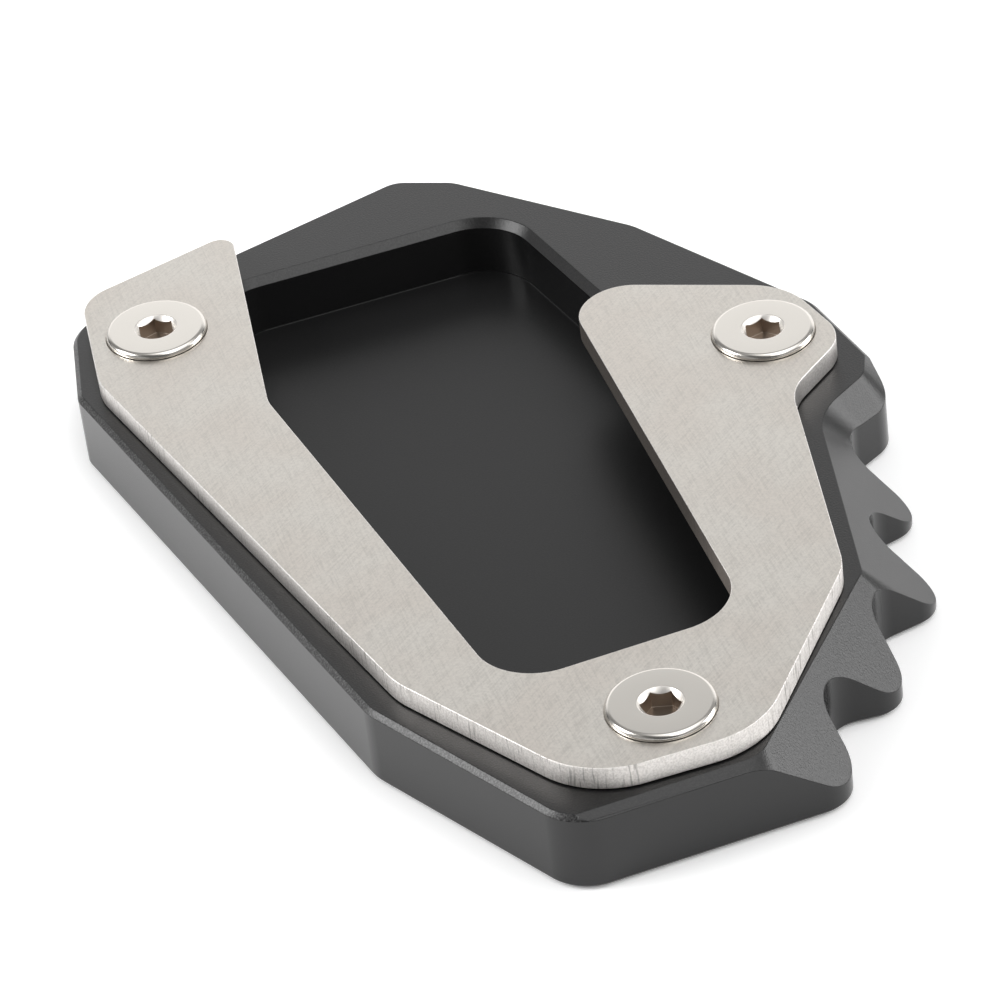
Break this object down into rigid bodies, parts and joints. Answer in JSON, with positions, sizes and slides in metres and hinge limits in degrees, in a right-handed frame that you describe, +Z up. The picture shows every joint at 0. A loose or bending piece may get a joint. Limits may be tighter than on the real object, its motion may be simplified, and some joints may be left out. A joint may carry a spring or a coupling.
{
  "type": "kickstand foot enlarger",
  "caption": "Kickstand foot enlarger: a bevelled base plate with saw teeth and a pocket for the stand's foot, and a U-shaped clamp plate held down by countersunk screws.",
  "frame": {"origin": "on the ground, under the middle of the part's bounds", "axes": "+Y along the long left wall, from the front wall to the back wall; +X from that wall towards the saw teeth; +Z up, out of the pocket"},
  "size_m": [0.0818, 0.1302, 0.0138],
  "materials": {
    "base": "black anodised over a blasted surface, satin",
    "clamp": "finely brushed stainless steel",
    "screws": "bright nickel plating"
  },
  "bodies": {
    "root": {"base_plate": "base", "clamp_plate": "clamp", "screw_front": "screws", "screw_left": "screws", "screw_right": "screws"}
  },
  "joints": []
}
